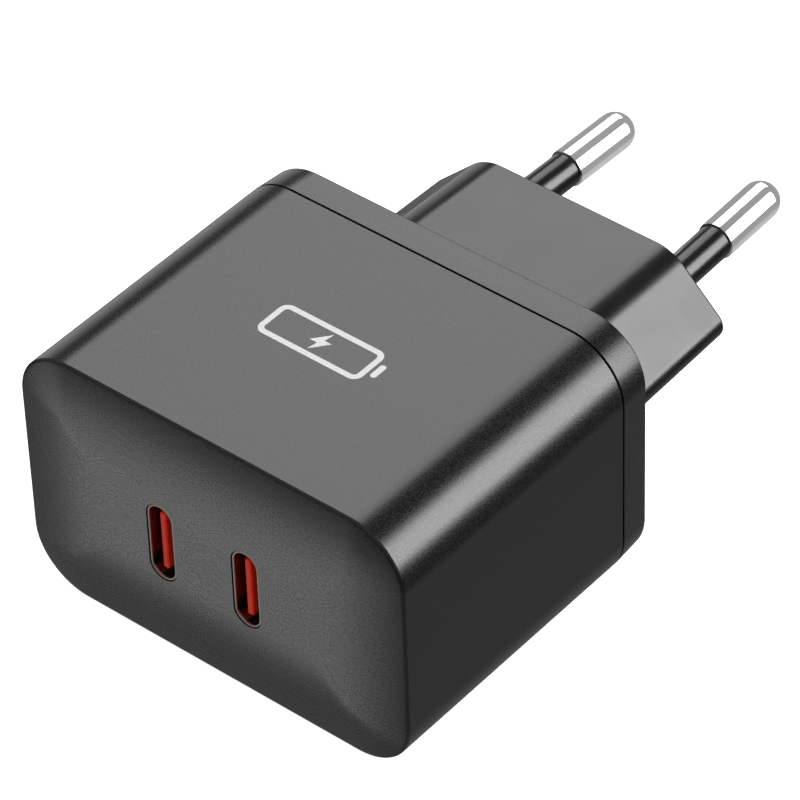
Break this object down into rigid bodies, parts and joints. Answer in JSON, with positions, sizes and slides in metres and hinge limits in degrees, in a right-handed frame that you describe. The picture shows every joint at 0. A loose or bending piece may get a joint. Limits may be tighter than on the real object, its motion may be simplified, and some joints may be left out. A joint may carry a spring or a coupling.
{
  "type": "usb wall charger",
  "caption": "Compact black mains charger with USB-C ports in a crowned front face and a fixed flat two-pin plug on a hexagonal block.",
  "frame": {"origin": "centre of the plug face, midway between the pins where they leave it", "axes": "+Y out of the plug face along the pins, +X from the left pin to the right pin, +Z to the top of the case; the USB-C face looks along -Y"},
  "size_m": [0.0448, 0.0736, 0.0286],
  "materials": {
    "case_plastic": "matt black polycarbonate with a fine spark texture",
    "block_plastic": "black polycarbonate, smoother satin",
    "sleeve_plastic": "black nylon",
    "nickel_plate": "bright nickel plating on brass",
    "contact_bronze": "stamped phosphor bronze",
    "port_steel": "drawn stainless steel",
    "tongue_plastic": "orange-red liquid crystal polymer",
    "contact_gold": "gold flash",
    "circuit_board": "green solder mask on glass epoxy",
    "insulation_film": "polyester film",
    "spreader_aluminium": "rolled sheet",
    "pad_silicone": "soft filled silicone",
    "ferrite": "sintered ferrite, dull",
    "bobbin_plastic": "phenolic moulding",
    "winding_tape": "yellow polyester tape over enamelled wire",
    "ring_coating": "green epoxy coating on a ferrite ring",
    "enamelled_copper": "enamelled copper wire",
    "capacitor_sleeve": "shrink sleeve on an aluminium can",
    "capacitor_can": "bare polymer capacitor can",
    "film_capacitor": "moulded box",
    "disc_lacquer": "blue lacquer",
    "fuse_case": "moulded box",
    "chip_epoxy": "moulded epoxy with tinned feet",
    "chip_ceramic": "ceramic with tinned ends"
  },
  "bodies": {
    "root": {"main_shell": "case_plastic", "rear_cover": "case_plastic", "plug_block": "block_plastic", "pin_left": "nickel_plate", "pin_right": "nickel_plate", "pin_sleeve_left": "sleeve_plastic", "pin_sleeve_right": "sleeve_plastic", "pin_contact_left": "contact_bronze", "pin_contact_right": "contact_bronze", "port_shell_left": "port_steel", "port_shell_right": "port_steel", "port_tongue_left": "tongue_plastic", "port_tongue_right": "tongue_plastic", "port_contacts_left": "contact_gold", "port_contacts_right": "contact_gold", "main_board": "circuit_board", "port_board": "circuit_board", "insulation_sheet": "insulation_film", "heat_spreader": "spreader_aluminium", "thermal_pad": "pad_silicone", "transformer_core_lower": "ferrite", "transformer_core_upper": "ferrite", "transformer_bobbin": "bobbin_plastic", "transformer_winding": "winding_tape", "choke_core": "ring_coating", "choke_winding": "enamelled_copper", "bulk_capacitor_front": "capacitor_sleeve", "bulk_capacitor_rear": "capacitor_sleeve", "output_capacitor_front": "capacitor_can", "output_capacitor_rear": "capacitor_can", "x_capacitor": "film_capacitor", "y_capacitor": "disc_lacquer", "fuse": "fuse_case", "optocoupler": "chip_epoxy", "bridge_rectifier": "chip_epoxy", "power_switch": "chip_epoxy", "sync_rectifier": "chip_epoxy", "port_controllers": "chip_epoxy", "port_inductor": "ferrite", "port_ceramic_capacitors": "chip_ceramic"}
  },
  "joints": []
}
